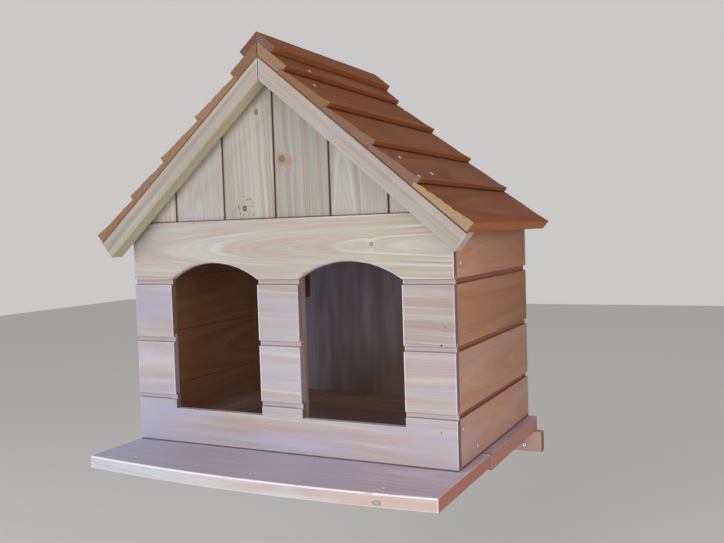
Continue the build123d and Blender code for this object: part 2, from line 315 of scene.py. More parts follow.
def plywoodMaterial():
    material, tree = newMaterial("plywood")
    value = inLinearLight(plywood)
    place = shaderNode("ShaderNodeTexCoord", {}, 3, tree)
    pores = pattern(place, value["pores"])
    figure = smoothStep(pattern(place, value["figure"]), value["figureEdge"])
    colour = mixColour(figure, value["dark"], value["pale"])
    colour = layer(colour, smoothStep(pores, value["poreEdge"]), value["poreShare"])
    x, y, z = axesOf(place)
    lowRight = smoothStep(timesPlus(z, value["brownSlope"], x), value["brownFrom"])
    lowRight = times(lowRight, mathNode("LESS_THAN", y, value["brownFront"]))
    bump = {"Height": pores, "Distance": value["bumpDistance"], "Strength": value["bumpStrength"]}
    addSurface(tree, {"Base Color": tinted(colour, value["brown"], lowRight), "Roughness": value["roughness"],
                      "Normal": shaderNode("ShaderNodeBump", bump)})
    return material


# Each finish: its streaks from bright to dark, the tint of blush and grey, the stain and painted
# shade in hollows and corners, the edges lightened by wear and painted highlight, and the sawn ends
looks = {
    "front_cladding": {
        "bright": (209, 214, 200), "pale": (190, 188, 175), "warm": (185, 165, 148), "dark": (148, 123, 115),
        "blushColour": (1.0, .84, .86, 1), "greyColour": (174, 170, 189), "hollowShadeColour": (172, 150, 152),
        "jointShadeColour": (84, 60, 70), "wearAndHighlightColour": (250, 250, 252), "ends": (150, 122, 122), "wear": .27,
        "cornerStain": .9, "bandSize": .0072, "streakSize": .0036, "ringDepth": .11, "streak": .22,
    },
    "side_cladding": {
        "bright": (212, 166, 126), "pale": (196, 148, 108), "warm": (184, 130, 94), "dark": (142, 84, 56),
        "blushColour": (1.0, .84, .78, 1), "greyColour": (180, 152, 150), "hollowShadeColour": (150, 80, 60),
        "jointShadeColour": (74, 34, 22), "wearAndHighlightColour": (196, 150, 122), "ends": (140, 100, 76), "wear": .25,
        "lightLines": .25, "darkLines": .22, "hollowStain": .9,
        "paintedIndoorShade": (.78, .80, .76, 1), "indoorWidth": .2885, "indoorFront": -.40, "indoorLow": 0,
    },
    "gable_cladding": {
        "bright": (210, 214, 204), "pale": (192, 190, 176), "warm": (184, 164, 150), "dark": (150, 118, 100),
        "blushColour": (.95, .86, .85, 1), "greyColour": (180, 180, 184), "hollowShadeColour": (120, 80, 58),
        "jointShadeColour": (76, 44, 30), "wearAndHighlightColour": (212, 208, 198), "ends": (150, 120, 96), "wear": .3,
    },
    "bargeboard_wood": {
        "bright": (206, 210, 202), "pale": (186, 182, 168), "warm": (178, 162, 148), "dark": (142, 112, 98),
        "blushColour": (.98, .86, .84, 1), "greyColour": (178, 174, 176), "hollowShadeColour": (138, 104, 84),
        "jointShadeColour": (66, 40, 28), "wearAndHighlightColour": (226, 220, 212), "ends": (196, 186, 176), "wear": .7,
        "lightLines": .45, "streak": .2, "streakSize": .0030,
        "freshAndLitPale": (224, 213, 176), "freshAndLitWarm": (216, 202, 164), "warmFrom": (-.4, .4),
    },
    "roof_board": {
        "bright": (168, 108, 58), "pale": (152, 92, 46), "warm": (138, 78, 34), "dark": (98, 52, 24),
        "blushColour": (1.0, .84, .84, 1), "greyColour": (146, 112, 96), "hollowShadeColour": (94, 46, 24),
        "jointShadeColour": (48, 22, 12), "wearAndHighlightColour": (184, 112, 68), "ends": (150, 106, 78), "wear": .45,
        "lightLines": .3, "toneRange": .3, "gloss": .2, "roughness": .72, "hollowStain": .7, "speckle": 1.0,
        "endLines": .9, "bumpDistance": .0001,
    },
    "floor_board": {
        "bright": (204, 198, 214), "pale": (192, 184, 200), "warm": (182, 164, 174), "dark": (132, 108, 118),
        "blushColour": (1.0, .82, .80, 1), "greyColour": (176, 174, 198), "hollowShadeColour": (140, 112, 112),
        "jointShadeColour": (90, 64, 62), "wearAndHighlightColour": (240, 238, 240), "ends": (178, 122, 96), "wear": .7,
        "lightLines": .25, "darkLines": .25,
        "freshAndLitPale": (182, 186, 192), "freshAndLitWarm": (180, 164, 154), "warmFrom": (-.16, .10),
        "paintedIndoorShade": (.69, .58, .47, 1), "indoorWidth": .294, "indoorFront": -.386, "indoorLow": .044,
    },
    "batten_wood": {
        "bright": (196, 152, 116), "pale": (184, 138, 104), "warm": (166, 118, 86), "dark": (122, 78, 54),
        "blushColour": (1.0, .86, .80, 1), "greyColour": (170, 150, 146), "hollowShadeColour": (120, 74, 50),
        "jointShadeColour": (70, 38, 24), "wearAndHighlightColour": (190, 150, 120), "ends": (150, 108, 80), "wear": .3,
    },
}


def knot(at, size, swirl, halo, ring, core, reach=2.8, **more):
    # Halo, ring and core are each (share, red, green, blue). The halo ends at reach half widths.
    return {"at": at, "size": size, "swirl": swirl, "halo": halo, "ring": ring, "core": core, "reach": reach,
            **more}


def nailMark(x, y, z, size=.0012):
    # A dark dot with a faint halo
    dark = (.8, 58, 46, 46)
    return knot((x, y, z), (size, .004, size), 0, (.2, 150, 130, 120), dark, dark, 2.4)


knots = {
    "front_cladding": [
        knot((.1682, -.392, .384), (.0036, .006, .0036), .0022,
             (.25, 206, 190, 158), (.75, 112, 116, 104), (.7, 156, 160, 148)),
        knot((.2838, -.392, .2594), (.0022, .006, .0030), .001,
             (.3, 176, 164, 146), (.4, 124, 122, 112), (.3, 136, 132, 124)),
        nailMark(.2775, -.392, .2317, .0016),
        nailMark(.2739, -.392, .1015),
    ],
    "bargeboard_wood": [
        knot((.2966, -.4148, .3999), (.0022, .004, .0018), .001,
             (.25, 176, 150, 140), (.6, 96, 72, 76), (.6, 84, 62, 66)),
    ],
    "gable_cladding": [
        knot((-.0356, -.385, .6027), (.0042, .006, .0050), .004,
             (.5, 198, 184, 152), (.8, 104, 98, 92), (.75, 140, 142, 136), 4.6),
        knot((-.0646, -.385, .4471), (.0042, .006, .0050), .004,
             (.4, 196, 176, 142), (.95, 80, 72, 64), (.7, 146, 150, 144), 4.2, specks=(.75, 132, 96, 66)),
        knot((.0170, -.385, .5185), (.0125, .006, .0055), .003,
             (.5, 190, 150, 110), (.18, 176, 122, 78), (.12, 176, 150, 122), 2.1),
        knot((.0101, -.385, .5239), (.0060, .006, .0058), .004,
             (.5, 172, 140, 104), (.7, 120, 96, 74), (.7, 140, 136, 122)),
    ],
    "roof_board": [
        knot((.2902, -.2995, .4530), (.0026, .0030, .0026), .002,
             (.3, 104, 60, 36), (.55, 66, 38, 26), (.5, 92, 60, 42)),
        knot((.0362, -.2087, .6684), (.0022, .0036, .0022), .002,
             (.3, 96, 54, 32), (.6, 60, 34, 24), (.5, 84, 52, 36)),
    ],
    "floor_board": [
        knot((.2272, -.5229, .0318), (.0072, .006, .0040), .003,
             (.35, 190, 172, 150), (.65, 96, 106, 108), (.5, 170, 178, 178)),
    ],
}
materials = {slot: woodMaterial(slot, look, knots.get(slot, ())) for slot, look in looks.items()}
materials["plywood"] = plywoodMaterial()
print("materials made:", len(materials))

# Board sections in metres, as they come from the mill
cladding = {
    "channelHeight": .0086,
    "channelDepth": .0045,
    "tongueBack": .0085,
    "tongueHeight": .004,
    "groove": .0043,
    "faceRound": .0011,
    "channelRound": .0010,
    "smallRound": .0004,
    "footRound": .0019,
    "innerRound": .0007,
}
doorways = {"sill": .060, "rise": .028, "chamfer": .0020, "jambRound": .0014, "sillHighlight": .3, "arcSteps": 41,
            "clear": .002, "behind": .01, "slantError": .05, "rimLight": .35, "rimLean": 1.4}
sweepDetail = {"arcSteps": 3, "endSteps": 4, "support": .0009, "supportMost": .15, "clear": 1.4,
               "acrossStep": .014, "alongStep": .016, "endRound": .0009, "leastRound": .00008,
               "mostRound": .45, "sharpAngle": 50}
logPlace = {"heartAcross": .06, "heartDepth": (.02, .07), "tilt": (.04, .10), "length": 80, "freshAndLitLimit": .8}
ripple = {"height": .00012, "waves": 7, "length": .05, "seed": 5}
axes = {"x": np.array([1.0, 0, 0]), "y": np.array([0, 1.0, 0]), "z": np.array([0, 0, 1.0])}
# Each kind of board draws its grain from its own row of numbers
seeds = {"pier": 11, "front": 31, "side": 50, "roof": 80, "cap": 105, "bargeboard": 120, "gable": 130,
         "ledge": 141, "rear": 142, "batten": 150, "post": 160, "rafter": 170, "screw": 200, "roofScrew": 210,
         "tear": 300}


def corner(u, v, radius, stainAndShade=0, runStain=0, wear=.5, runWear=0):
    # One corner of a section, its rounding, and what it and the run after it hold: stain and
    # painted shade in hollows, joints and under lips, and wear and painted highlight on edges
    return u, v, radius, stainAndShade, runStain, wear, runWear


def sectionLoops(section, insets, step=None):
    # The section's outline at each station, moved in by the station's inset. A corner C moved in
    # by d lies at C - d (m + n) / (1 + m.n), with m and n the outward normals beside it. It becomes
    # an arc (1-t)^2 A + 2t(1-t) C + t^2 B between A and B, a radius away along its two edges.
    section, insets = np.asarray(section, float), np.asarray(insets, float)
    corners, radii, marks = section[:, :2], section[:, 2], section[:, 3:]
    forward = np.roll(corners, -1, axis=0) - corners
    u, v = corners.T
    turn = np.sign(np.sum(u * np.roll(v, -1) - np.roll(u, -1) * v))
    normal = turn * np.stack([forward[:, 1], -forward[:, 0]], -1) / np.linalg.norm(forward, axis=1)[:, None]
    earlier = np.roll(normal, 1, axis=0)
    miter = (normal + earlier) / (1 + np.sum(normal * earlier, axis=1))[:, None]
    convex = turn * (earlier[:, 0] * normal[:, 1] - earlier[:, 1] * normal[:, 0]) > -1e-9
    moved = corners - insets[:, None, None] * miter
    before, after = np.roll(moved, 1, axis=1) - moved, np.roll(moved, -1, axis=1) - moved
    lengthBefore, lengthAfter = np.linalg.norm(before, axis=2), np.linalg.norm(after, axis=2)
    shrunk = np.maximum(radii - insets[:, None], sweepDetail["leastRound"])
    radius = np.where(convex, shrunk, radii + insets[:, None])
    radius = np.minimum(radius, sweepDetail["mostRound"] * np.minimum(lengthBefore, lengthAfter))
    start = moved + before * (radius / lengthBefore)[..., None]
    stop = moved + after * (radius / lengthAfter)[..., None]
    t = np.linspace(0, 1, sweepDetail["arcSteps"] + 1)[:, None]
    points, arris, stainAndShade = [], [], []
    for index in range(len(corners)):
        onward = (index + 1) % len(corners)
        arc = (1 - t) ** 2 * start[:, index, None] + 2 * t * (1 - t) * moved[:, index, None]
        arc = arc + t ** 2 * stop[:, index, None]
        length = np.linalg.norm(forward[index])
        steps = np.linspace(0, 1, max(1, int(length / (step or sweepDetail["acrossStep"]))) + 1)[1:-1]
        near = sweepDetail["support"] / length
        steps = steps[(steps > 2 * near) & (steps < 1 - 2 * near)]
        share = np.concatenate([[near, 2 * near], steps, [1 - 2 * near, 1 - near]])
        share = share if near < sweepDetail["supportMost"] else np.zeros(0)
        fade = np.clip(1 - np.stack([share, 1 - share]) / near / 2, 0, 1)
        run = stop[:, index, None] + (start[:, onward, None] - stop[:, index, None]) * share[:, None]
        points += [arc, run]
        cornerStain, runStain, wear, runWear = marks[index]
        arris += [np.full(len(t), wear * convex[index]), np.full(len(share), runWear)]
        faded = np.maximum(cornerStain * fade[0], marks[onward, 0] * fade[1])
        stainAndShade += [np.full(len(t), cornerStain), np.maximum(faded, runStain)]
    return np.concatenate(points, axis=1), np.concatenate(arris), np.concatenate(stainAndShade)


def stations(first, last, endRound, extra=(), endWear=(.7, .7)):
    # Places along a board: even steps, and at both ends a quarter circle, where the section
    # shrinks by r(1 - sin a) as the place moves in by r(1 - cos a).
    angle = np.linspace(0, math.pi / 2, sweepDetail["endSteps"])
    sign = 1 if last > first else -1
    count = max(2, int(abs(last - first) / sweepDetail["alongStep"]))
    places = np.unique(np.append(np.linspace(first, last, count + 1), extra))[::sign]
    support = endRound + sweepDetail["support"]
    clear = support * sweepDetail["clear"]
    inner = places[(sign * (places - first) > clear) & (sign * (last - places) > clear)]
    ends = np.append(endRound * (1 - np.cos(angle)), support)
    shrink = np.append(endRound * (1 - np.sin(angle)), 0)
    along = np.concatenate([first + sign * ends, inner, (last - sign * ends)[::-1]])
    inset = np.concatenate([shrink, np.zeros(len(inner)), shrink[::-1]])
    startWear, stopWear = (np.full(len(angle), wear) for wear in endWear)
    worn = np.concatenate([startWear, np.zeros(len(inner) + 2), stopWear])
    return along, inset, worn


def straightBoard(section, first, last, place, endRound=None, endWear=(.7, .7), extra=(), step=None):
    # The same section runs from first to last. place turns the arrays (along, section u, section v)
    # into points.
    along, inset, worn = stations(first, last, endRound or sweepDetail["endRound"], extra, endWear)
    moved, arris, stainAndShade = sectionLoops(section, inset, step)
    along = np.broadcast_to(along[:, None], moved.shape[:2])
    return {"loops": place(along, moved[..., 0], moved[..., 1]), "arris": np.maximum(arris, worn[:, None]),
            "stainAndShade": np.broadcast_to(stainAndShade, moved.shape[:2])}


def sweepFaces(loops):
    # Quads between neighbouring loops and one face on each end, all turned outwards
    stationCount, pointCount = loops.shape[:2]
    index = np.arange(stationCount * pointCount).reshape(stationCount, pointCount)
    here, onward = index[:-1], index[1:]
    quads = np.stack([here, np.roll(here, -1, 1), np.roll(onward, -1, 1), onward], -1).reshape(-1, 4)
    flat = loops.reshape(-1, 3)
    placed = flat[quads] - flat.mean(axis=0)
    volume = np.sum(placed[:, 0] * np.cross(placed[:, 1], placed[:, 2]))
    volume += np.sum(placed[:, 0] * np.cross(placed[:, 2], placed[:, 3]))
    startCap, endCap = index[0][::-1], index[-1]
    if volume < 0:
        quads, startCap, endCap = quads[:, ::-1], startCap[::-1], endCap[::-1]
    return flat, quads.tolist() + [startCap.tolist(), endCap.tolist()]


def smoothNoise(points, length, seed):
    # A sum of sine waves in random directions, each wave about as long as the given length
    rng = np.random.default_rng(seed)
    directions = rng.normal(size=(ripple["waves"], 3)) / length
    phases = rng.uniform(0, 2 * math.pi, ripple["waves"])
    return np.sin(points @ directions.T + phases).sum(axis=1) / ripple["waves"]


def boardPart(swept, along, across, seed, wood=None):
    # One board's arrays. Grain coordinates are (along, across, depth) from the heart of the
    # log: across and depth are shifted by the heart's place and grow with its tilt. The tone
    # changes along the board by its lean, and faces turned towards its fresh direction take the
    # fresh colour: newly planed wood, and on the bargeboards' undersides a painted bounce light.
    vertices, faces = sweepFaces(swept["loops"])
    random = np.random.default_rng(seed).uniform(0, 1, 8)
    nearest, further = logPlace["heartDepth"]
    return {
        "heart": (logPlace["heartAcross"] * (random[0] - .5), nearest + further * random[1]),
        "tilt": (logPlace["tilt"][0] * (random[2] - .5), logPlace["tilt"][1] * (random[3] - .5)),
        "shift": logPlace["length"] * random[4],
        "tone": tuple(random[5:8]),
        "lean": (0, 0, 0),
        "scale": 1.0,
        "fresh": (0, 0, 0),
        **(wood or {}),
        "vertices": vertices,
        "faces": faces,
        "arris": swept["arris"].ravel(),
        "stainAndShade": swept["stainAndShade"].ravel(),
        "along": along,
        "across": across,
        "depth": np.cross(along, across),
        "middle": (vertices.min(axis=0) + vertices.max(axis=0)) / 2,
    }


def setAttribute(mesh, name, values, domain="POINT"):
    # One number, a vector or a colour for each point or face
    kind, field = {1: ("FLOAT", "value"), 3: ("FLOAT_VECTOR", "vector"), 4: ("FLOAT_COLOR", "color")}[
        values.shape[1] if values.ndim > 1 else 1]
    data = mesh.attributes.new(name, kind, domain).data
    data.foreach_set(field, values.astype(np.float32).ravel())


def readArray(items, field, width=3):
    values = np.zeros((len(items), width) if width > 1 else len(items))
    items.foreach_get(field, values.ravel())
    return values


def newObject(name, vertices, faces):
    mesh = bpy.data.meshes.new(name)
    mesh.from_pydata(vertices, [], faces)
    made = bpy.data.objects.new(name, mesh)
    bpy.context.scene.collection.objects.link(made)
    return made, mesh


def addPiece(name, parts, slot):
    # Boards joined into one piece that stands for the CAD node of its name
    counts = [len(part["vertices"]) for part in parts]
    starts = np.cumsum([0] + counts[:-1]).tolist()
    faces = [[point + start for point in face]
             for part, start in zip(parts, starts) for face in part["faces"]]
    vertices = np.concatenate([part["vertices"] for part in parts])
    owner = np.repeat(np.arange(len(parts)), counts)
    rippled = vertices + ripple["height"] * smoothNoise(vertices, ripple["length"], ripple["seed"])[:, None]
    piece, mesh = newObject(name, np.clip(rippled, cadBounds[0], cadBounds[1]), faces)
    mesh.materials.append(materials[slot])
    grain, tone = np.zeros((len(vertices), 3), np.float32), np.zeros((len(vertices), 3), np.float32)
    ends = np.zeros((len(vertices), 4))
    for index, part in enumerate(parts):
        local = vertices[owner == index] - part["middle"]
        along = local @ part["along"]
        across = local @ part["across"] + part["heart"][0] + part["tilt"][0] * along
        depth = local @ part["depth"] + part["heart"][1] + part["tilt"][1] * along
        scale = part["scale"]
        grain[owner == index] = np.stack([along + part["shift"], across * scale, depth * scale], -1)
        tone[owner == index] = np.array(part["tone"]) + along[:, None] * np.array(part["lean"])
        # a gable board's painted light adds to its tone's light
        tone[owner == index, 0] += part.get("paintedLift", 0)
        ends[owner == index] = fromScreen(part.get("ends", looks[slot]["ends"]))
    faceOwner = np.repeat(np.arange(len(parts)), [len(part["faces"]) for part in parts])
    normals = readArray(mesh.polygons, "normal")
    cut = np.sum(normals * np.array([part["along"] for part in parts])[faceOwner], axis=1) ** 2
    fresh = np.sum(normals * np.array([part["fresh"] for part in parts])[faceOwner], axis=1)
    fresh = fresh > logPlace["freshAndLitLimit"]
    chamferHighlight = np.concatenate([part.get("chamferHighlight", np.zeros(len(part["faces"]))) for part in parts])
    for attribute, values in (("grain", grain), ("tone", tone), ("endColour", ends)):
        setAttribute(mesh, attribute, values)
    for attribute in ("arris", "stainAndShade"):
        setAttribute(mesh, attribute, np.concatenate([part[attribute] for part in parts]))
    for attribute, values in (("cut", cut), ("fresh", fresh), ("chamferHighlight", chamferHighlight)):
        setAttribute(mesh, attribute, values, "FACE")
    mesh.shade_smooth()
    mesh.set_sharp_from_angle(angle=math.radians(sweepDetail["sharpAngle"]))
    mesh.polygons.foreach_set("use_smooth", [len(face) == 4 for face in faces])
    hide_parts(name)
    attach(piece, "root")


# Main places of the house, read from the frame
lintelLow, lintelHigh = span("lintel_board")
floorTop = span("sill_board")[0][2]
half = lintelHigh[0]
frontFace, frontInner = lintelLow[1], lintelHigh[1]
boardThick = frontInner - frontFace
sideInner = half - boardThick
joints = [floorTop] + [span(node)[1][2] - cladding["tongueHeight"]
                       for node in ("sill_board", "pier_left_lower", "pier_left_upper")]
doors = [(span("pier_left_upper")[1][0], span("pier_centre_upper")[0][0]),
         (span("pier_centre_upper")[1][0], span("pier_right_upper")[0][0])]


def courseSection(low, high, grooved, tongued, footStain=0.0):
    # A cladding board's corners as (depth from the face, height): the channel under the next
    # board's lip carries painted shade, darkest in its lower corner, and footStain paints a shadow line along
    # the foot.
    face, small, inner = cladding["faceRound"], cladding["smallRound"], cladding["innerRound"]
    channel, back = cladding["channelDepth"], cladding["tongueBack"]
    shoulder, tongue = high - cladding["channelHeight"], high + cladding["tongueHeight"]
    groove = low + cladding["groove"]
    section = [corner(0, low, cladding["footRound"] if footStain else face, footStain, wear=.3)]
    if tongued:
        section += [
            corner(0, shoulder, face, wear=.35),
            corner(channel, shoulder, cladding["channelRound"], .86, .45),
            corner(channel, tongue, small, .45),
            corner(back, tongue, small),
            corner(back, high, small),
            corner(boardThick, high, inner, .3, wear=0),
        ]
    else:
        section += [corner(0, high, small), corner(boardThick, high, small)]
    section += [corner(boardThick, low, inner, .3, wear=0)]
    if grooved:
        section += [
            corner(back, low, small),
            corner(back, groove, small),
            corner(channel, groove, small),
            corner(channel, low, small, .9),
        ]
    return section


def onFront(along, depth, height):
    # (along the wall, depth behind its face, height) to a point
    return np.stack([along, frontFace + depth, height], -1)


def onSide(side):
    return lambda along, depth, height: np.stack([side * (half - depth), along, height], -1)


# Piers: the ends of each and their wear, which lightens the jamb edges by wear and painted highlight, then
# the wood of each board
pierEnds = {"left": (-half, doors[0][0], (.6, 1.2)), "centre": (doors[0][1], doors[1][0], (2.8, .5)),
            "right": (doors[1][1], half, (2.8, 1.2))}
piers = {
    "left_lower": {"tone": (.38, .50, .52), "heart": (-.010, .070), "scale": .60, "ends": (150, 136, 156)},
    "left_upper": {"tone": (.18, .15, .70), "heart": (.075, .050), "scale": .30, "ends": (112, 86, 76)},
    "centre_lower": {"tone": (.50, .30, .60), "heart": (.070, .026), "scale": .60, "ends": (166, 150, 174)},
    "centre_upper": {"tone": (.24, .35, .52), "heart": (.065, .018), "scale": .55, "ends": (146, 122, 126)},
    "right_lower": {"tone": (.46, .65, .38), "heart": (-.078, .020), "scale": .42, "ends": (120, 92, 104)},
    "right_upper": {"tone": (.10, .55, .25), "heart": (.085, .012), "scale": .70, "ends": (120, 92, 104)},
}
for number, (name, wood) in enumerate(piers.items()):
    start, end, endWear = pierEnds[name.split("_")[0]]
    course = 2 if "upper" in name else 1
    section = courseSection(joints[course], joints[course + 1], True, True)
    swept = straightBoard(section, start, end, onFront, doorways["jambRound"], endWear)
    part = boardPart(swept, axes["x"], axes["z"], seeds["pier"] + number, {"tilt": (.02, .03), **wood})
    addPiece(f"pier_{name}", [part], "front_cladding")


def doorCutters():
    # The doorway's outline: the sill, both jambs and an arc with the chord's width and rise.
    # In front of the face the cutter widens, which leaves a small chamfer on the edge.
    cutters = []
    clear, chamfer = doorways["clear"], doorways["chamfer"]
    for start, end in doors:
        chord, rise = end - start, doorways["rise"]
        radius = (chord ** 2 / 4 + rise ** 2) / (2 * rise)
        reach = math.asin(chord / 2 / radius)
        angle = np.linspace(reach, -reach, doorways["arcSteps"])
        middle = np.array([(start + end) / 2, joints[3] + rise - radius])
        arc = middle + radius * np.stack([np.sin(angle), np.cos(angle)], -1)
        sill = floorTop + doorways["sill"]
        loops = []
        behind = frontInner + doorways["behind"]
        for y, wider in ((frontFace - clear, chamfer + clear), (frontFace + chamfer, 0), (behind, 0)):
            foot = [(start - wider, sill - wider), (end + wider, sill - wider)]
            outline = np.concatenate([arc + (arc - middle) / radius * wider, foot])
            loops.append(np.stack([outline[:, 0], np.full(len(outline), y), outline[:, 1]], -1))
        cutters.append(newObject("doorway", *sweepFaces(np.stack(loops)))[0])
    return cutters


def sawDoorways(part, cutters):
    # Takes both doorways out of a board and puts its new corners, faces and attributes back
    blank, mesh = newObject("blank", part["vertices"], part["faces"])
    for attribute in ("arris", "stainAndShade"):
        setAttribute(mesh, attribute, part[attribute])
    for cutter in cutters:
        saw = blank.modifiers.new("saw", "BOOLEAN")
        saw.object, saw.operation, saw.solver = cutter, "DIFFERENCE", "EXACT"
    sawn = blank.evaluated_get(bpy.context.evaluated_depsgraph_get()).to_mesh()
    for attribute in ("arris", "stainAndShade"):
        part[attribute] = readArray(sawn.attributes[attribute].data, "value", 1)
    normals, centres = readArray(sawn.polygons, "normal"), readArray(sawn.polygons, "center")
    x, depth = centres[:, 0], centres[:, 1] - frontFace
    clear = doorways["clear"]
    inward = np.any([(x > start - clear) & (x < end + clear) for start, end in doors], axis=0)
    slanted = np.abs(normals[:, 1] + math.sqrt(.5)) < doorways["slantError"]
    slanted = slanted & (depth > 0) & (depth < doorways["chamfer"])
    # painted highlight on the doorway chamfers, stronger where a chamfer faces left
    chamferHighlight = np.clip(doorways["rimLight"] - doorways["rimLean"] * normals[:, 0], 0, 1)
    part["chamferHighlight"] = (inward & slanted) * chamferHighlight
    part["vertices"] = readArray(sawn.vertices, "co")
    part["faces"] = [list(face.vertices) for face in sawn.polygons]
    bpy.data.objects.remove(blank)


cutters = doorCutters()
frontBoards = {
    "lintel_board": (joints[3], lintelHigh[2], True, False, 0,
                     {"heart": (-.0015, .022), "tilt": (.002, -.045), "tone": (.32, .00, .12),
                      "lean": (0, .1, -.5), "ends": (120, 84, 66)}),
    # the light part of the sill's lean is a painted falloff, darker to the left; its foot takes a painted
    # shadow line
    "sill_board": (joints[0], joints[1], False, True, 1,
                   {"heart": (.06, .03), "tilt": (.02, .02), "tone": (.47, .46, .68), "lean": (.4, .1, -.5),
                    "scale": .55, "ends": (122, 86, 88)}),
}
for number, (name, (*shape, wood)) in enumerate(frontBoards.items()):
    swept = straightBoard(courseSection(*shape), -half, half, onFront, endWear=(.8, 1.6))
    part = boardPart(swept, axes["x"], axes["z"], seeds["front"] + number, wood)
    sawDoorways(part, cutters)
    part["chamferHighlight"] *= doorways["sillHighlight"] if name == "sill_board" else 1
    addPiece(name, [part], "front_cladding")
for cutter in cutters:
    bpy.data.objects.remove(cutter)
print("front boards made")

# Roof slope: places on it are a distance down the slope and a height square to it
roof = {
    "angle": math.radians(40.3),
    "thin": .0085,
    "lap": .006,
    "midAlong": .040,
    "midThick": .0123,
    "lowAlong": .077,
    "lowThick": .0145,
    "thick": .018,
    "firstThick": .0175,
    "capThick": .011,
    "capReach": .0185,
    "firstLip": .0535,
    "fourthUp": .005,
    "shadow": .0034,
    "mitreGap": .0008,
    "mitreRound": .0004,
    "bellyRound": .012,
    "smallRound": .0005,
    "lapRound": .0006,
    "underRound": .0008,
    "footRound": .0012,
    "lipRound": .0016,
    "lipIn": .0017,
    "tear": (0, .0004, .0011, .0005, .0014, .0016),
    "tearLength": .0040,
    "tearReach": .007,
    "tearStations": (.4, .7, 1),
    "tearNoise": (1.6, .35),
    "tearUpper": (3, -1.6),
    "tearAbove": .8,
    "acrossStep": .0022,
    "boards": 5,
}
roofFront = span("roof_right_1")[0][1]
ridge = span("roof_right_1")[1][2] - roof["firstThick"] / math.cos(roof["angle"])
rise, slopeCos, slopeSin = math.tan(roof["angle"]), math.cos(roof["angle"]), math.sin(roof["angle"])
lastLip = (span("bargeboard_right")[1][0] - roof["lipIn"]) / slopeCos
lipStep = (lastLip - roof["firstLip"]) / (roof["boards"] - 1)
sides = (("left", -1), ("right", 1))


def underRoof(x):
    # Height of the roof's underside: it falls by rise for each metre from the ridge
    return ridge - rise * np.abs(x)


def slopeAxes(sign):
    # Down the slope, and square to it upwards
    return np.array([sign * slopeCos, 0, -slopeSin]), np.array([sign * slopeSin, 0, slopeCos])


# Side courses: the tone of each board, and on the right a painted light falloff along it, darker towards the
# back
sideTones = {
    "right": {4: (.37, .02, .12), 3: (-.08, .45, .05), 2: (.40, .20, .38), 1: (.60, .44, .62)},
    "left": {4: (.40, .10, .10), 3: (.50, .15, .05), 2: (.44, .30, .10), 1: (.36, .35, .15)},
}
paintedSideFalloff = {1: (-1.1, 0, -.3), 2: (-1.4, .3, -.4), 3: (-2.6, .3, -.5), 4: (-3.5, .6, -.8)}
for side, sign in sides:
    for number in range(1, 5):
        if number < 4:
            # the lowest side board takes a painted shadow line along its foot
            section = courseSection(joints[number - 1], joints[number], number > 1, True, float(number == 1))
        else:
            section = courseSection(joints[3], underRoof(half), True, False)
            section[2] = corner(boardThick, underRoof(sideInner), cladding["smallRound"])
        wood = {"tone": sideTones[side][number], "lean": paintedSideFalloff[number] if sign > 0 else (0, 0, 0)}
        seed = seeds["side"] + number + (10 if sign > 0 else 0)
        swept = straightBoard(section, 0, frontInner, onSide(sign))
        part = boardPart(swept, axes["y"], axes["z"], seed, wood)
        addPiece(f"side_{side}_{number}", [part], "side_cladding")
print("side walls made")


def onRoof(sign):
    # (along the ridge, down the slope, up from the underside) to a point
    return lambda y, down, up: np.stack([sign * (down * slopeCos + up * slopeSin), y,
                                         ridge - down * slopeSin + up * slopeCos], -1)


# Roof boards: tones from the ridge down, and colours of the front ends, the cap's last
roofTones = {1: (.58, .20, .05), 2: (.42, .35, .05), 3: (.44, .30, .05), 4: (.46, .45, .20),
             5: (.50, .50, .10)}
capTone = (.50, .35, .05)
roofEnds = {
    "right": {1: (146, 123, 99), 2: (136, 103, 77), 3: (126, 102, 83), 4: (130, 104, 92), 5: (170, 146, 112),
              6: (112, 91, 86)},
    "left": {1: (130, 101, 78), 2: (150, 121, 94), 3: (149, 118, 91), 4: (140, 115, 93), 5: (142, 112, 86),
             6: (108, 78, 64)},
}


def lipPlace(number):
    # Distance down the slope to a board's lip: even steps, with the fourth lip a little higher up
    return roof["firstLip"] + (number - 1) * lipStep - (roof["fourthUp"] if number == 4 else 0)


def roofSection(number):
    # A roof board's corners as (down the slope, up from the underside): a painted shadow strip close
    # under the lip above it, and a lip of its own lightened by wear and painted highlight.
    lip, top, thin, small = lipPlace(number), lipPlace(number - 1), roof["thin"], roof["smallRound"]
    thick = roof["firstThick"] if number == 1 else roof["thick"]
    if number == 1:
        gap = roof["mitreGap"]
        section = [corner(gap - thick * rise, thick, roof["mitreRound"]), corner(gap, 0, roof["mitreRound"])]
    else:
        slope = (roof["midThick"] - thin) / roof["midAlong"]
        section = [
            corner(top + roof["lowAlong"], roof["lowThick"], roof["bellyRound"], wear=0),
            corner(top + roof["midAlong"], roof["midThick"], roof["bellyRound"], wear=0),
            corner(top + roof["shadow"], thin + slope * roof["shadow"], small, .6, .75, 0),
            corner(top, thin, small, 1),
            corner(top - roof["lap"], thin, small),
            corner(top - roof["lap"], 0, small),
        ]
    if number == roof["boards"]:
        section += [corner(lip, 0, roof["footRound"], wear=1, runWear=1.4)]
    else:
        section += [
            corner(lip - roof["lap"], 0, roof["lapRound"]),
            corner(lip - roof["lap"], thin, roof["lapRound"]),
            corner(lip, thin, roof["underRound"], .6, runWear=.6),
        ]
    return section + [corner(lip, thick, roof["lipRound"], wear=.6)]


def topLine(number, down, thick):
    # Height of a roof board's upper face at a distance down the slope
    top = lipPlace(number - 1)
    return np.interp(down, [top, top + roof["midAlong"], top + roof["lowAlong"], lipPlace(number)],
                     [roof["thin"], roof["midThick"], roof["lowThick"], thick])


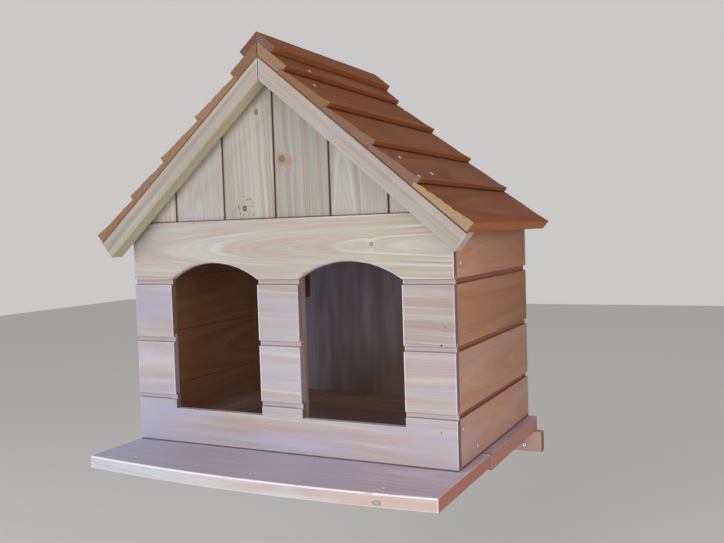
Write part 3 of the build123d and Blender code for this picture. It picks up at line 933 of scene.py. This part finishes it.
def tornEnd(swept, sign, number, seed):
    # Sawing tore fibres off the upper edge of the front end: points there drop by the board's tear
    # times a noise above zero, which fades out along the board over the tear's reach.
    loops = swept["loops"] = np.array(swept["loops"])
    x, height = sign * loops[..., 0], loops[..., 2] - ridge
    slope, up = x * slopeCos - height * slopeSin, x * slopeSin + height * slopeCos
    gain, bias = roof["tearUpper"]
    upper = np.clip(up / topLine(number, slope, roof["thick"]) * gain + bias, 0, 1)
    upper = upper * (up > roof["thin"] * roof["tearAbove"])
    gain, bias = roof["tearNoise"]
    fibres = np.stack([slope, slope * 0, up * 0], -1).reshape(-1, 3)
    torn = np.clip(smoothNoise(fibres, roof["tearLength"], seed) * gain + bias, 0, 1).reshape(slope.shape)
    fade = np.clip(1 - (loops[..., 1] - roofFront) / roof["tearReach"], 0, 1) ** 2
    loops -= (roof["tear"][number] * upper * fade * torn)[..., None] * slopeAxes(sign)[1]
    return swept


for side, sign in sides:
    down = slopeAxes(sign)[0]
    for number in range(1, roof["boards"] + 1):
        own = number + (10 if sign > 0 else 0)
        extra = roofFront + roof["tearReach"] * np.array(roof["tearStations"])
        swept = straightBoard(roofSection(number), 0, roofFront, onRoof(sign), extra=extra,
                              step=roof["acrossStep"])
        swept = tornEnd(swept, sign, number, seeds["tear"] + own)
        wood = {"tone": roofTones[number], "ends": roofEnds[side][number]}
        part = boardPart(swept, axes["y"], down, seeds["roof"] + own, wood)
        addPiece(f"roof_{side}_{number}", [part], "roof_board")
    first, cap = roof["firstThick"], roof["firstThick"] + roof["capThick"]
    section = [
        corner(-first * rise, first, roof["mitreRound"]),
        corner(roof["capReach"], first, roof["underRound"], .6, runWear=.6),
        corner(roof["capReach"], cap, roof["lipRound"]),
        corner(-cap * rise, cap, roof["footRound"]),
    ]
    swept = straightBoard(section, 0, roofFront, onRoof(sign))
    wood = {"tone": capTone, "ends": roofEnds[side][6]}
    part = boardPart(swept, axes["y"], down, seeds["cap"] + sign, wood)
    addPiece(f"ridge_cap_{side}", [part], "roof_board")
print("roof made")

# Bargeboards run from the mitre at the apex to a square foot
bargeboard = {"apexHeight": .0369, "footIn": .0205, "footDrop": .0255, "round": .0018, "endRound": .001,
              "mitreGap": .0006,
              "tones": {"left": (-.05, .08, .04), "right": (.10, .80, .34)}}
bargeLow, bargeHigh = span("bargeboard_right")
# the lower edge runs from apexLow to the foot
apexLow = ridge - bargeboard["apexHeight"]
footX, footZ = bargeHigh[0] - bargeboard["footIn"], underRoof(bargeHigh[0]) - bargeboard["footDrop"]


def taperedBoard(lowEdge, highEdge, thick, radius, endRound, marks=({}, {}, {}, {})):
    # A rectangle whose lower and upper edges follow two lines from one end to the other
    width = np.linalg.norm(highEdge[0] - lowEdge[0])
    length = np.linalg.norm(highEdge[1] - highEdge[0])
    along, inset, worn = stations(0, length, endRound)
    places = ((0, 0), (0, width), (thick, width), (thick, 0))
    section = [corner(*place, radius, **mark) for place, mark in zip(places, marks)]
    moved, arris, stainAndShade = sectionLoops(section, inset)
    share = (along / length)[:, None, None]
    low = lowEdge[0] + (lowEdge[1] - lowEdge[0]) * share
    high = highEdge[0] + (highEdge[1] - highEdge[0]) * share
    loops = low + (high - low) * (moved[..., 1:2] / width) + axes["y"] * moved[..., 0:1]
    stainAndShade = np.broadcast_to(stainAndShade, moved.shape[:2]).copy()
    return {"loops": loops, "arris": np.maximum(arris, worn[:, None]), "stainAndShade": stainAndShade}


for side, sign in sides:
    top = np.array([[0, roofFront, ridge], [sign * bargeHigh[0], roofFront, underRoof(bargeHigh[0])]])
    bottom = np.array([[0, roofFront, apexLow], [sign * footX, roofFront, footZ]])
    for line in (top, bottom):
        line[0] += (line[1] - line[0]) * bargeboard["mitreGap"] / abs(line[1][0] - line[0][0])
    # painted shadow along the front upper edge under the roof ends, and painted shade at the apex mitre end
    swept = taperedBoard(bottom, top, bargeHigh[1] - bargeLow[1], bargeboard["round"], bargeboard["endRound"],
                         ({"wear": .15}, {"stainAndShade": .95, "wear": 0}, {}, {"wear": .15}))
    swept["stainAndShade"][:2] = 1
    # the downward face takes the fresh colour as painted bounce light
    wood = {"tone": bargeboard["tones"][side], "heart": (.055, .012), "tilt": (.01, .01), "scale": .75,
            "fresh": -slopeAxes(sign)[1]}
    part = boardPart(swept, *slopeAxes(sign), seeds["bargeboard"] + sign, wood)
    addPiece(f"bargeboard_{side}", [part], "bargeboard_wood")

# Gable boards: each upright line of the half-lapped section ends at the roof's underside. Close
# under the bargeboards they carry painted light that lightens the bargeboards' shadow.
gable = {
    "gap": .0006, "lap": .006, "clearance": .0003, "cover": .1005, "joints": 5, "shift": -.005,
    "round": .0009, "ridgeRound": .001, "backRound": .0003,
    "endRound": .004, "endShrink": .2, "footStain": .0014,
    "paintedLiftReach": .036, "paintedLiftFade": 1.3, "paintedLiftShare": {"left": 1.5, "right": .45},
}
gableWood = [
    {"tone": (.45, .50, .3)},
    {"tone": (.16, .04, .60), "heart": (.004, .024), "tilt": (-.04, .10)},
    {"tone": (.0, .05, .15), "heart": (.052, .012), "tilt": (.03, .02)},
    {"tone": (-.25, .25, .15), "heart": (-.062, .014), "tilt": (.02, -.03)},
    {"tone": (.04, .35, .35)},
    {"tone": (.30, .50, .2)},
]
gableLow, gableHigh = span("gable_boards")
face, back, middle = gableLow[1], gableHigh[1], (gableLow[1] + gableHigh[1]) / 2
edges = [gable["shift"] + gable["cover"] * (step - 2) for step in range(gable["joints"])]
edges = [-sideInner] + edges + [sideInner]
parts = []
for number, (left, right) in enumerate(zip(edges[:-1], edges[1:])):
    first, last = number == 0, number == len(edges) - 2
    faceLeft, faceRight = left + (0 if first else gable["gap"]), right - (0 if last else gable["gap"])
    backLeft = left if first else left + gable["lap"] + gable["gap"]
    backRight = right if last else right + gable["lap"] - gable["gap"]
    step = middle + gable["clearance"]
    corners = [(faceLeft, face)]
    corners += [(0, face)] if faceLeft < 0 < faceRight else []
    corners += [(faceRight, face)]
    corners += [] if last else [(faceRight, step), (backRight, step)]
    corners += [(backRight, back)]
    corners += [(0, back)] if backLeft < 0 < backRight else []
    corners += [(backLeft, back)]
    corners += [] if first else [(backLeft, middle), (faceLeft, middle)]
    radii = [gable["ridgeRound"] if x == 0 else gable["round"] if y == face else gable["backRound"]
             for x, y in corners]
    section = [corner(x, y, radius, float(x != 0 and y == face)) for (x, y), radius in zip(corners, radii)]
    along, inset, worn = stations(0, 1, gable["endRound"], (gable["footStain"] * 5,))
    moved, arris, stainAndShade = sectionLoops(section, inset * gable["endShrink"])
    x = moved[..., 0]
    height = gableLow[2] + (underRoof(x) - gableLow[2]) * along[:, None]
    # painted shadow along the foot, under the lintel's upper edge
    footed = np.clip(2 - (height - gableLow[2]) / gable["footStain"], 0, 1)
    edge = np.interp(np.abs(x), [0, footX], [apexLow, footZ])
    # painted light close under each bargeboard, strongest at its edge
    paintedLift = np.where(x < 0, gable["paintedLiftShare"]["left"], gable["paintedLiftShare"]["right"])
    paintedLift = paintedLift * np.clip(1 - (edge - height) / gable["paintedLiftReach"], 0, 1) ** gable["paintedLiftFade"]
    swept = {"loops": np.stack([x, moved[..., 1], height], -1), "arris": np.broadcast_to(arris, height.shape),
             "stainAndShade": np.maximum(stainAndShade, footed)}
    part = boardPart(swept, axes["z"], axes["x"], seeds["gable"] + number, gableWood[number])
    parts.append({**part, "paintedLift": paintedLift.ravel()})
addPiece("gable_boards", parts, "gable_cladding")
print("gable made")

# Floor planks: the front one's outer edge is an arc through its two corners and the bow
# the front upper edge is lightened by wear and painted highlight
ledge = {"bow": .019, "round": .002, "small": .0012, "edgeWearAndHighlight": 1.2, "endWear": .1, "fixed": .02,
         "edgeDepth": .0005, "endShare": .1}
ledgeWood = {"tone": (.95, .30, .50), "lean": (.4, .9, -1.2), "fresh": -axes["y"], "ends": (184, 114, 90)}
frontLow, frontHigh = span("floor_front")
rearLow, rearHigh = span("floor_rear")


def bowedPlank(low, high):
    # The section (depth from the front edge, height) is stretched at each station to the plank's
    # depth there. Its upper edges are rounded, the ends' too, and its lower ones stay sharp.
    thick, chord = high[2] - low[2], high[0] - low[0]
    radius = (chord ** 2 / 4 + ledge["bow"] ** 2) / (2 * ledge["bow"])
    along, inset, worn = stations(low[0], high[0], ledge["round"], (), (1, 1))
    frontEdge = low[1] + radius - np.sqrt(radius ** 2 - (along - (low[0] + high[0]) / 2) ** 2)
    depth, fixed = high[1] - frontEdge, ledge["fixed"]
    mean = depth.mean()
    section = [
        corner(0, 0, ledge["small"], wear=.4),
        corner(0, thick, ledge["round"], wear=ledge["edgeWearAndHighlight"]),
        corner(mean, thick, ledge["small"], 1, wear=0),
        corner(mean, 0, ledge["small"], 1, wear=0),
    ]
    moved, arris, stainAndShade = sectionLoops(section, inset)
    whole = sectionLoops(section, inset * 0)[0]
    onEdge = np.where(whole[0, :, 0] < ledge["edgeDepth"], ledge["edgeWearAndHighlight"], ledge["endWear"])
    rounded = (inset > ledge["endShare"] * ledge["round"])[:, None]
    onEdge = onEdge * (rounded | (whole[..., 1] > thick - ledge["round"]))
    moved = whole + (moved - whole) * np.clip(whole[..., 1:2] / thick, 0, 1)
    stretch = ((depth - fixed) / (mean - fixed))[:, None]
    reach = np.where(moved[..., 0] < fixed, moved[..., 0], fixed + (moved[..., 0] - fixed) * stretch)
    along = np.broadcast_to(along[:, None], reach.shape)
    loops = np.stack([along, frontEdge[:, None] + reach, low[2] + moved[..., 1]], -1)
    arris = np.maximum(arris, worn[:, None] * onEdge)
    return {"loops": loops, "arris": arris, "stainAndShade": np.broadcast_to(stainAndShade, reach.shape)}


part = boardPart(bowedPlank(frontLow, frontHigh), axes["x"], axes["y"], seeds["ledge"], ledgeWood)
addPiece("floor_front", [part], "floor_board")


def boxBoard(low, high, along, seed, wood=None, radius=.001, wear=.5, marks=None):
    # A plain sawn length between two corners of its box
    index = "xyz".index(along)
    u, v = [axis for axis in range(3) if axis != index]
    places = ((low[u], low[v]), (high[u], low[v]), (high[u], high[v]), (low[u], high[v]))
    section = [corner(*place, radius, **mark) for place, mark in zip(places, marks or [{"wear": wear}] * 4)]
    order = np.argsort([index, u, v])
    swept = straightBoard(section, low[index], high[index],
                          lambda spot, first, second: np.stack([spot, first, second], -1)[..., order],
                          endWear=(wear, wear))
    return boardPart(swept, axes[along], axes["xyz"[u]], seed, wood)


rearWood = {"tone": (.56, .6, .15), "ends": (186, 126, 98)}
seam = [{"stainAndShade": 1, "wear": 0}, {"wear": 0}, {"wear": 0}, {"stainAndShade": 1, "runStain": .8, "wear": 0}]
part = boxBoard(rearLow, rearHigh, "x", seeds["rear"], rearWood, ledge["small"], ledge["endWear"], seam)
addPiece("floor_rear", [part], "floor_board")
# batten_back and stile_block have dark tones that are painted shade inside the house, and batten_back's lean
# darkens it further to the right
battens = {
    "wall_ledger": ("x", {"tone": (1.0, .95, .55), "ends": (132, 82, 74)}),
    "batten_left": ("y", {"tone": (1.1, .0, .9)}),
    "batten_right": ("y", {"tone": (1.1, .0, .9)}),
    "batten_back": ("x", {"tone": (-.93, .2, .1), "lean": (-1.2, 0, 0)}),
    "centre_stile": ("z", {"tone": (.15, .6, 1.0)}),
    "stile_block": ("z", {"tone": (-1.7, .3, .1)}),
}
for number, (name, (along, wood)) in enumerate(battens.items()):
    # batten_back's top face is lightened by painted light
    marks = [{}, {}, {"runWear": 2.2 if name == "batten_back" else 0}, {}]
    addPiece(name, [boxBoard(*span(name), along, seeds["batten"] + number, wood, marks=marks)], "batten_wood")

# Corner posts stand in the four corners of their node's box
# the posts' dark tone is painted shade
post = {"size": .028, "tone": (-.7, .2, .1)}
postLow, postHigh = span("corner_posts")
parts = []
for number, (x, y) in enumerate(((0, 0), (1, 0), (0, 1), (1, 1))):
    low = np.where((x, y, 0), postHigh - post["size"], postLow)
    high = np.array([low[0] + post["size"], low[1] + post["size"], postHigh[2]])
    parts.append(boxBoard(low, high, "z", seeds["post"] + number, {"tone": post["tone"]}))
addPiece("corner_posts", parts, "batten_wood")

# Rafters: one pair behind the gable, one against the back panel
rafter = {"thick": .025, "depth": .038, "round": .001}
for side, sign in sides:
    low, high = span(f"rafters_{side}")
    drop = np.array([0, 0, rafter["depth"] / slopeCos])
    parts = []
    for number, y in enumerate((low[1], high[1] - rafter["thick"])):
        top = np.array([[0, y, ridge], [sign * sideInner, y, underRoof(sideInner)]])
        swept = taperedBoard(top - drop, top, rafter["thick"], rafter["round"], rafter["round"])
        parts.append(boardPart(swept, *slopeAxes(sign), seeds["rafter"] + number * 2 + sign))
    addPiece(f"rafters_{side}", parts, "batten_wood")
bpy.data.objects["back_panel"].data.materials.clear()
bpy.data.objects["back_panel"].data.materials.append(materials["plywood"])
print("floor and frame made")

# Countersunk screws: where they sit in the side wall, floor, ledger and roof slopes
screw = {"radius": .0042, "dome": .0009, "recess": .0022, "recessEnd": .0006, "slotWide": .0008,
         "slotDeep": .0010, "slotSides": 1.6, "side": -.0012, "rings": 12, "sectors": 48, "wallSize": 1.25,
         "sharpAngle": 60}
zinc = {"bright": (246, 252, 255), "dull": (206, 226, 250), "shaded": (72, 92, 136), "blotchEdge": (.35, .65),
        "blotches": ((900, 900, 900), 2.0, .5), "rimEdge": (.50, .90), "roughness": .22, "roughMore": .25}
screwPlaces = {
    "sideScrew": ((1, 0, 0), ((.300, -.3649, .3523), (.300, -.3698, .1048), (.300, -.3059, .0633))),
    "floorScrew": ((0, 0, 1), ((.309, -.2984, .045), (-.2184, -.4983, .045), (.0112, -.5096, .045),
                               (.2274, -.5001, .045))),
    "ledgerScrew": ((0, -1, 0), ((.2952, -.018, -.0075), (-.2952, -.018, -.0075))),
}
roofScrews = {
    "right": ((.0453, -.3514, .6614), (.0752, -.3834, .636), (.068, -.012, .639), (.2183, -.3862, .5146),
              (.2621, -.4271, .4775), (.2493, -.3403, .4884)),
    "left": ((-.0555, -.422, .6527), (-.0752, -.200, .636), (-.2183, -.3862, .5146), (-.2621, -.06, .4775)),
}


def screwHead(centre, normal, turn, size):
    # Height over radius r: dome (1 - (r/R)^2), less a cross recess, then a short side wall
    share = np.concatenate([np.linspace(0, 1, screw["rings"]), [1.0]])
    angle = np.linspace(0, 2 * math.pi, screw["sectors"], endpoint=False)
    radius = (share * screw["radius"])[:, None] * np.ones(len(angle))
    x, y = radius * np.cos(angle), radius * np.sin(angle)
    height = screw["dome"] * (1 - (radius / screw["radius"]) ** 2)
    slot = np.minimum(np.abs(x), np.abs(y))
    inside = np.clip(screw["slotSides"] - slot / screw["slotWide"] * screw["slotSides"], 0, 1)
    inside = inside * np.clip((screw["recess"] - radius) / screw["recessEnd"], 0, 1)
    height = height - screw["slotDeep"] * inside
    height[-1] = screw["side"]
    normal = np.array(normal, float)
    side = np.cross(normal, (.31, .57, .76))  # any direction that no screw points in
    side /= np.linalg.norm(side)
    other = np.cross(normal, side)
    u, v = x * math.cos(turn) - y * math.sin(turn), x * math.sin(turn) + y * math.cos(turn)
    grid = np.array(centre) + size * (u[..., None] * side + v[..., None] * other + height[..., None] * normal)
    count = len(angle)
    vertices = np.concatenate([grid[0, :1], grid[1:].reshape(-1, 3)])
    rows = np.arange((len(share) - 1) * count).reshape(-1, count) + 1
    inner, outer = rows[:-1], rows[1:]
    quads = np.stack([inner, outer, np.roll(outer, -1, 1), np.roll(inner, -1, 1)], -1).reshape(-1, 4)
    fan = np.stack([np.zeros(count, int), rows[0], np.roll(rows[0], -1)], -1)
    outward = np.append(0, np.repeat(share[1:], count))
    return vertices, quads.tolist() + fan.tolist() + [rows[-1][::-1].tolist()], outward


def zincMaterial():
    # Zinc plate in two blotchy tones, with painted shade towards the head's rim
    material, tree = newMaterial("zincPlate")
    value = inLinearLight(zinc)
    place = shaderNode("ShaderNodeTexCoord", {}, 3, tree)
    blotch = pattern(place, value["blotches"])
    colour = mixColour(smoothStep(blotch, value["blotchEdge"]), value["bright"], value["dull"])
    colour = mixColour(smoothStep(attributeNode(tree, "outward"), value["rimEdge"]), colour, value["shaded"])
    rough = timesPlus(blotch, value["roughMore"], value["roughness"])
    addSurface(tree, {"Base Color": colour, "Roughness": rough})
    return material


def addScrews(name, places, normal, seed, size=1.0):
    # Screws that point one way, as one piece, each turned at random round its axis
    rng = np.random.default_rng(seed)
    vertices, faces, outward, start = [], [], [], 0
    for centre in places:
        points, polygons, shares = screwHead(centre, normal, rng.uniform(0, math.pi / 2), size)
        vertices.append(points)
        outward.append(shares)
        faces += [[point + start for point in polygon] for polygon in polygons]
        start += len(points)
    piece, mesh = newObject(name, np.concatenate(vertices), faces)
    setAttribute(mesh, "outward", np.concatenate(outward))
    mesh.materials.append(zincPlate)
    mesh.shade_smooth()
    mesh.set_sharp_from_angle(angle=math.radians(screw["sharpAngle"]))
    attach(piece, "root")


def seatOnRoof(point):
    # The roof's upper surface at a place: the section's top line between its corners
    down = abs(point[0]) * slopeCos + (ridge - point[2]) * slopeSin
    number = next(n for n in range(1, roof["boards"] + 1) if down < lipPlace(n) or n == roof["boards"])
    up = roof["firstThick"] if number == 1 else float(topLine(number, down, roof["thick"]))
    return onRoof(math.copysign(1, point[0]))(point[1], down, up)


zincPlate = zincMaterial()
for number, (name, (normal, places)) in enumerate(screwPlaces.items()):
    size = screw["wallSize"] if name == "ledgerScrew" else 1.0
    addScrews(name, places, normal, seeds["screw"] + number, size)
for side, sign in sides:
    places = [seatOnRoof(place) for place in roofScrews[side]]
    addScrews(f"roofScrew_{side}", places, slopeAxes(sign)[1], seeds["roofScrew"] + sign)
print("screws made")

# Camera at the photograph's viewing angle: place in metres, angles in degrees
view = {"place": (.71148, -1.52294, .40462), "yaw": 26.3642, "pitch": -2.8364, "roll": -1.7957,
        "lens": 40.958, "sensor": 36}
cameraData = bpy.data.cameras.new("camera")
cameraData.lens = view["lens"]
cameraData.sensor_width = view["sensor"]
camera = bpy.data.objects.new("camera", cameraData)
bpy.context.scene.collection.objects.link(camera)
turn = (Matrix.Rotation(math.radians(view["yaw"]), 4, "Z")
        @ Matrix.Rotation(math.radians(90 + view["pitch"]), 4, "X")
        @ Matrix.Rotation(math.radians(view["roll"]), 4, "Z"))
camera.matrix_world = Matrix.Translation(view["place"]) @ turn
bpy.context.scene.camera = camera

# Pale floor below the hung house, pale surroundings and soft lamps
studio = {"floorDrop": .40, "floorSize": 14, "floorColour": (.86, .85, .83, 1), "floorRoughness": .9,
          "world": (.82, .81, .80, 1), "worldStrength": .50, "backdrop": .72}
lampAim = (0, -.2, .3)
lamps = {
    "keyLamp": {"place": (-.35, -3.3, .85), "size": 3.6, "power": 79, "colour": (.92, .97, 1.0)},
    "fillLamp": {"place": (2.8, -2.0, .9), "size": 2.2, "power": 24, "colour": (1.0, .93, .84)},
}
reach = studio["floorSize"] / 2
floorZ = cadBounds[0][2] - studio["floorDrop"]
floorCorners = [(x * reach, y * reach, floorZ) for x, y in ((-1, -1), (1, -1), (1, 1), (-1, 1))]
floor, floorMesh = newObject("studioFloor", floorCorners, [(0, 1, 2, 3)])
floorMaterial, floorTree = newMaterial("paleFloor")
addSurface(floorTree, {"Base Color": studio["floorColour"], "Roughness": studio["floorRoughness"]})
floorMesh.materials.append(floorMaterial)
for name, lamp in lamps.items():
    data = bpy.data.lights.new(name, "AREA")
    data.shape, data.size, data.energy, data.color = "DISK", lamp["size"], lamp["power"], lamp["colour"]
    light = bpy.data.objects.new(name, data)
    bpy.context.scene.collection.objects.link(light)
    facing = (Vector(lamp["place"]) - Vector(lampAim)).to_track_quat("Z", "Y")
    light.matrix_world = Matrix.Translation(lamp["place"]) @ facing.to_matrix().to_4x4()
world = bpy.data.worlds.new("studio")
world.use_nodes = True
background = world.node_tree.nodes["Background"]
background.inputs[0].default_value = studio["world"]
seen = shaderNode("ShaderNodeLightPath", {}, tree=world.node_tree)
strength = timesPlus(seen, studio["backdrop"] - studio["worldStrength"], studio["worldStrength"])
world.node_tree.links.new(strength, background.inputs[1])
bpy.context.scene.world = world
bpy.context.scene.view_settings.view_transform = "Standard"
print("camera, floor and lamps ready")
